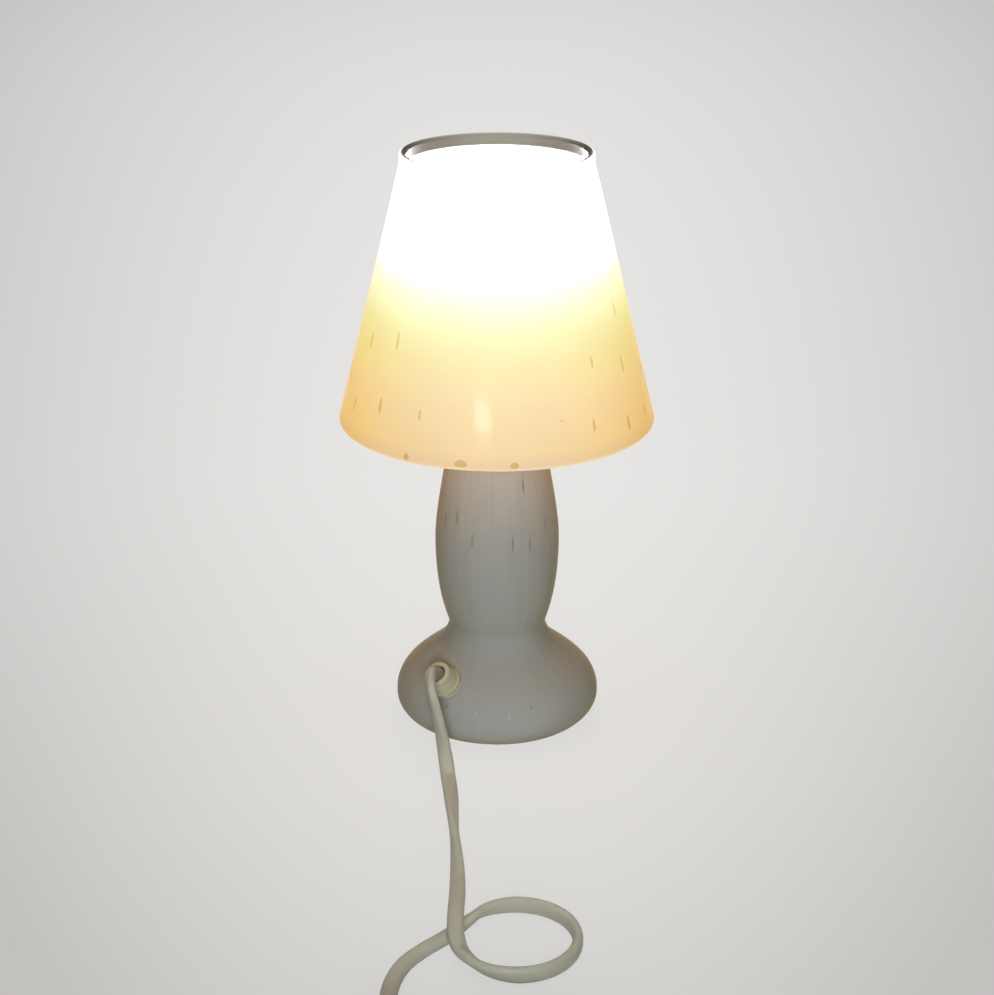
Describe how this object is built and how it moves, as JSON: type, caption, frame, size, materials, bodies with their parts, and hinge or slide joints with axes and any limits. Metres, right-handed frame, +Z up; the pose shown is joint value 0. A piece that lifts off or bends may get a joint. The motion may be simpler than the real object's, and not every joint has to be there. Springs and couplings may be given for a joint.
{
  "type": "table lamp",
  "caption": "Table lamp with a conical opal glass shade on a waisted glass base, a small screw bulb inside, and a flat cord with a rocker switch and a plug.",
  "frame": {"origin": "centre of the base on the table", "axes": "+Z up along the lamp's axis, -Y towards the front where the cord comes out and lies, +X to the viewer's right"},
  "size_m": [0.1501, 0.4366, 0.283],
  "materials": {
    "opal_base_glass": "satin opal glass",
    "lit_opal_glass": "satin opal glass, lit from inside",
    "smoky_clear_glass": "clear glass, slightly smoky",
    "bulb_glass": "frosted, lit",
    "dark_felt": "matt felt",
    "black_rubber": "matt",
    "zinc_steel": "zinc plated",
    "solder": "dull",
    "lacquered_brass": "lacquered",
    "contact_brass": "bare",
    "nickel_pins": "nickel plated",
    "cream_rubber": "matt",
    "cream_plastic": "satin",
    "cream_cord": "satin",
    "ivory_plastic": "semi-gloss",
    "white_plastic": "semi-gloss",
    "ceramic": "glazed ceramic",
    "black_glass_bead": "gloss"
  },
  "bodies": {
    "lamp": {"base_glass": "opal_base_glass", "base_felt": "dark_felt", "stem_tube": "zinc_steel", "bottom_gasket": "black_rubber", "bottom_washer": "zinc_steel", "bottom_nut": "lacquered_brass", "neck_gasket": "black_rubber", "neck_cap": "lacquered_brass", "neck_nut": "lacquered_brass", "shade_carrier": "lacquered_brass", "carrier_tips": "cream_rubber", "holder_cap": "ivory_plastic", "holder_body": "ivory_plastic", "holder_insert": "ceramic", "holder_shell": "contact_brass", "holder_contact": "contact_brass", "holder_screws": "zinc_steel", "cord_bush": "cream_plastic", "bush_gasket": "cream_rubber", "bush_nut": "cream_plastic", "inner_lead": "cream_cord", "cord_lead": "cream_cord", "cord_link": "cream_cord", "cord_coil": "cream_cord", "cord_tie": "white_plastic", "cord_tail": "cream_cord", "switch_base": "ivory_plastic", "switch_cover": "ivory_plastic", "switch_terminals": "contact_brass", "switch_screws": "zinc_steel", "plug_body": "ivory_plastic", "plug_pins": "nickel_pins"},
    "shade": {"shade_glass": "lit_opal_glass", "shade_clear_rim": "smoky_clear_glass"},
    "bulb": {"bulb_globe": "bulb_glass", "bulb_shell": "zinc_steel", "bulb_insulator": "black_glass_bead", "bulb_tip": "solder"},
    "rocker": {"switch_rocker": "white_plastic"}
  },
  "joints": [
    {"name": "shade_lift", "type": "slide", "parent": "lamp", "child": "shade", "axis": [0, 0, 1], "range_m": [0, 0.125]},
    {"name": "bulb_turn", "type": "hinge", "parent": "lamp", "child": "bulb", "pos_m": [0, 0, 0.2], "axis": [0, 0, 1], "range_deg": [0, 360]},
    {"name": "rocker_tilt", "type": "hinge", "parent": "lamp", "child": "rocker", "pos_m": [-0.042, -0.308, 0.0152], "axis": [1, 0, 0], "range_deg": [-14, 0]}
  ]
}
